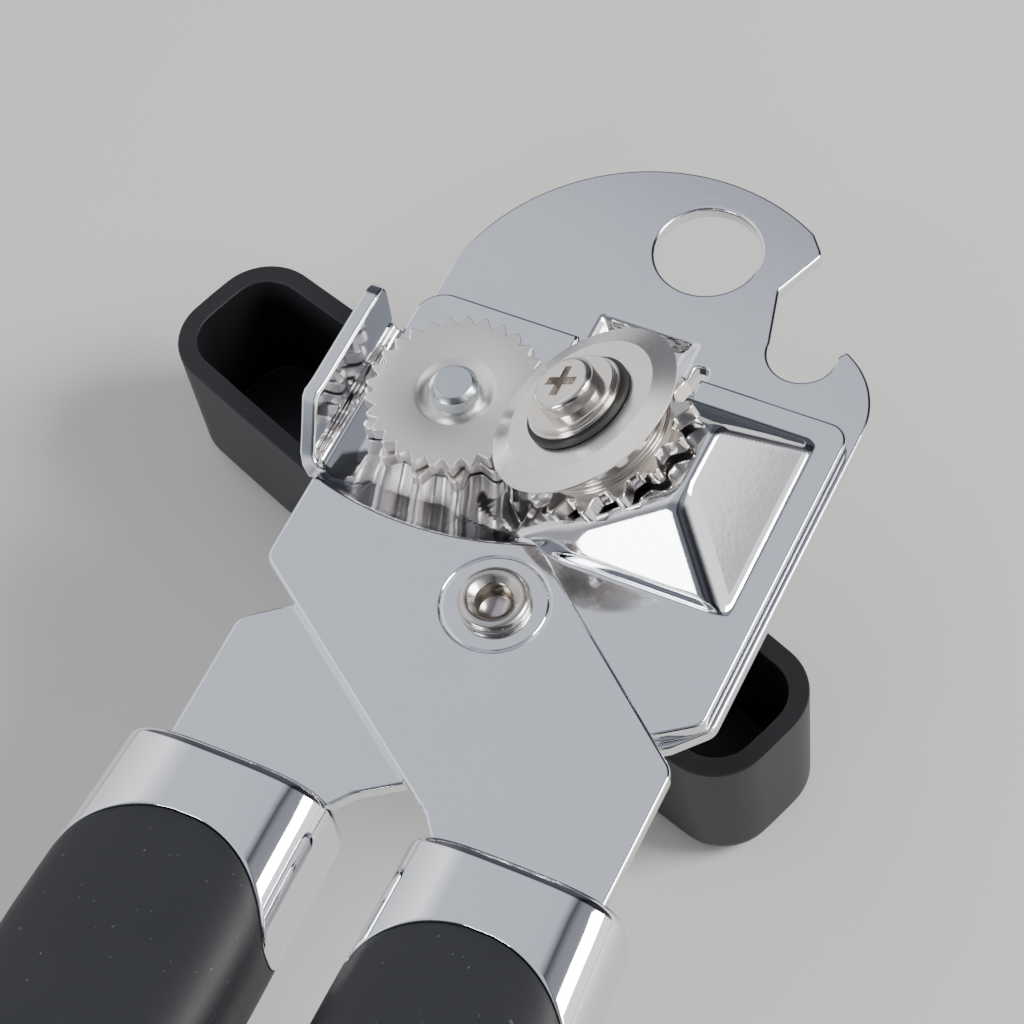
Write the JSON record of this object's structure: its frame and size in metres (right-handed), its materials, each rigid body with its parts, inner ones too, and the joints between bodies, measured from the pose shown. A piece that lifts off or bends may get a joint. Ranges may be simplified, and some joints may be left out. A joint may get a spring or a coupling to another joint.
{
  "type": "manual can opener",
  "caption": "Hand can opener: two riveted plate frames with cushioned handles, geared feed wheel, tilted cutting disc, winding knob and a bottle hook.",
  "frame": {"origin": "centre of the hanging hole on the front face of the opener plate", "axes": "+Z out of the front face towards the wheels, +Y up the head away from the handles, +X to the right seen from the front"},
  "size_m": [0.0979, 0.2104, 0.0577],
  "materials": {
    "plate_chrome": "polished chrome plate with bright edges",
    "collar_chrome": "mirror polished chrome",
    "rivet_nickel": "nickel-plated, slightly dark",
    "wheel_nickel": "satin warm nickel",
    "cutter_nickel": "polished warm nickel",
    "disc_steel": "ground bright steel",
    "zinc_steel": "bluish zinc plate",
    "dark_fibre": "dark",
    "knob_plastic": "matt moulded",
    "grip_rubber": "soft touch",
    "core_plastic": "moulded"
  },
  "bodies": {
    "cutter_frame": {"opener_plate": "plate_chrome", "cutter_plate": "plate_chrome", "pivot_rivet": "rivet_nickel", "pivot_washer": "rivet_nickel", "cutter_screw": "cutter_nickel", "cutter_spacer": "dark_fibre", "cutter_washer": "cutter_nickel", "cutter_spring_washer": "cutter_nickel", "seat_washer": "cutter_nickel", "cutter_nut": "zinc_steel", "left_collar": "collar_chrome", "left_grip": "grip_rubber", "left_handle_core": "core_plastic", "left_handle_pins": "zinc_steel"},
    "feed_frame": {"feed_plate": "plate_chrome", "shaft_bushing": "zinc_steel", "right_collar": "collar_chrome", "right_grip": "grip_rubber", "right_handle_core": "core_plastic", "right_handle_pins": "zinc_steel"},
    "drive": {"knob": "knob_plastic", "knob_screw": "zinc_steel", "drive_shaft": "zinc_steel", "thrust_washer": "zinc_steel", "feed_gear": "wheel_nickel", "feed_wheel": "wheel_nickel"},
    "cutter": {"cutter_wheel": "disc_steel", "cutter_drum": "cutter_nickel", "cutter_gear": "cutter_nickel"}
  },
  "joints": [
    {"name": "handle_pivot", "type": "hinge", "parent": "cutter_frame", "child": "feed_frame", "pos_m": [-0.0007, -0.0555, 0.003], "axis": [0, 0, 1], "range_deg": [0, 30]},
    {"name": "knob_turn", "type": "hinge", "parent": "feed_frame", "child": "drive", "pos_m": [-0.0165, -0.033, 0], "axis": [0, 0, 1], "continuous": true},
    {"name": "cutter_turn", "type": "hinge", "parent": "cutter_frame", "child": "cutter", "pos_m": [0.0003, -0.0336, 0.0135], "axis": [-0.4848, 0, 0.8746], "continuous": true}
  ],
  "couplings": [
    {"joint": "cutter_turn", "follows": "knob_turn", "ratio": -1}
  ]
}
